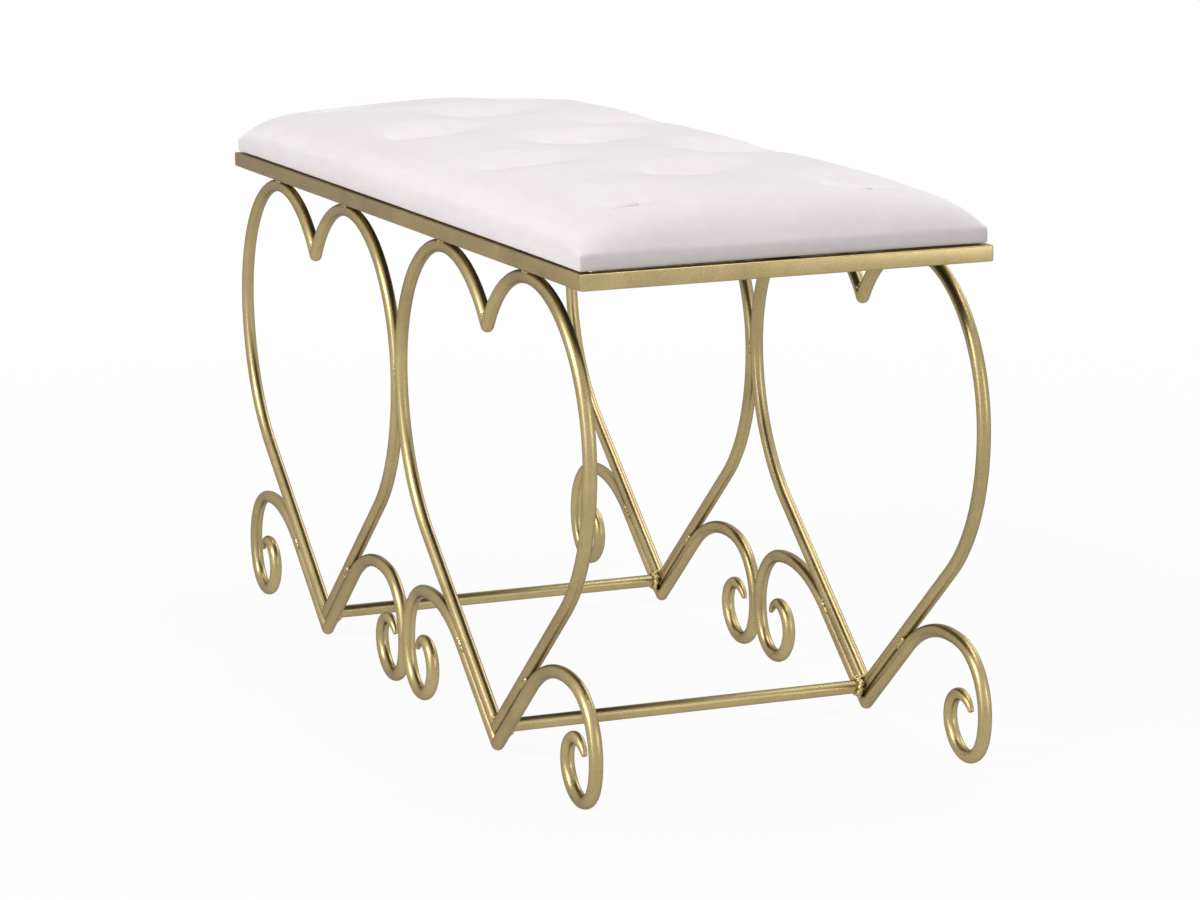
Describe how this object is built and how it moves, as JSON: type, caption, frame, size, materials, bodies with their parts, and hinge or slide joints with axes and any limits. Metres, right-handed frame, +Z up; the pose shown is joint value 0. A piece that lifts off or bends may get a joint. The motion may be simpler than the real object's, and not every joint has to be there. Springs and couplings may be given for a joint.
{
  "type": "upholstered bench",
  "caption": "Upholstered bench with a button-tufted pale velvet seat on a slim gold metal frame whose long sides are heart-shaped bent rods standing on scrolled feet.",
  "frame": {"origin": "on the floor, at the centre of the bench's footprint", "axes": "+X along the length, to the right seen from the front; +Y from the front to the back; +Z up"},
  "size_m": [1, 0.365, 0.504],
  "materials": {
    "gold_frame": "satin metallic gold paint",
    "velvet": "short pile velvet",
    "velvet_button": "short pile velvet",
    "plywood": "raw",
    "foam": "open-cell foam",
    "twine": "twisted",
    "dust_cloth": "matt non-woven",
    "screw_steel": "zinc plated",
    "tack_steel": "blued"
  },
  "bodies": {
    "root": {"front_rail": "gold_frame", "back_rail": "gold_frame", "left_end_rail": "gold_frame", "right_end_rail": "gold_frame", "front_left_heart_outer": "gold_frame", "front_left_heart_inner": "gold_frame", "front_right_heart_inner": "gold_frame", "front_right_heart_outer": "gold_frame", "back_left_heart_outer": "gold_frame", "back_left_heart_inner": "gold_frame", "back_right_heart_inner": "gold_frame", "back_right_heart_outer": "gold_frame", "front_left_foot_outer": "gold_frame", "front_left_foot_inner": "gold_frame", "front_right_foot_inner": "gold_frame", "front_right_foot_outer": "gold_frame", "back_left_foot_outer": "gold_frame", "back_left_foot_inner": "gold_frame", "back_right_foot_inner": "gold_frame", "back_right_foot_outer": "gold_frame", "left_crossbar": "gold_frame", "right_crossbar": "gold_frame", "rail_welds": "gold_frame", "heart_welds": "gold_frame", "foot_welds": "gold_frame", "crossbar_welds": "gold_frame", "seat_brackets": "gold_frame", "seat_screws": "screw_steel", "seat_board": "plywood", "foam_pad": "foam", "velvet_cover": "velvet", "tuft_buttons": "velvet_button", "tuft_twines": "twine", "dust_cover": "dust_cloth", "dust_cover_tacks": "tack_steel"}
  },
  "joints": []
}
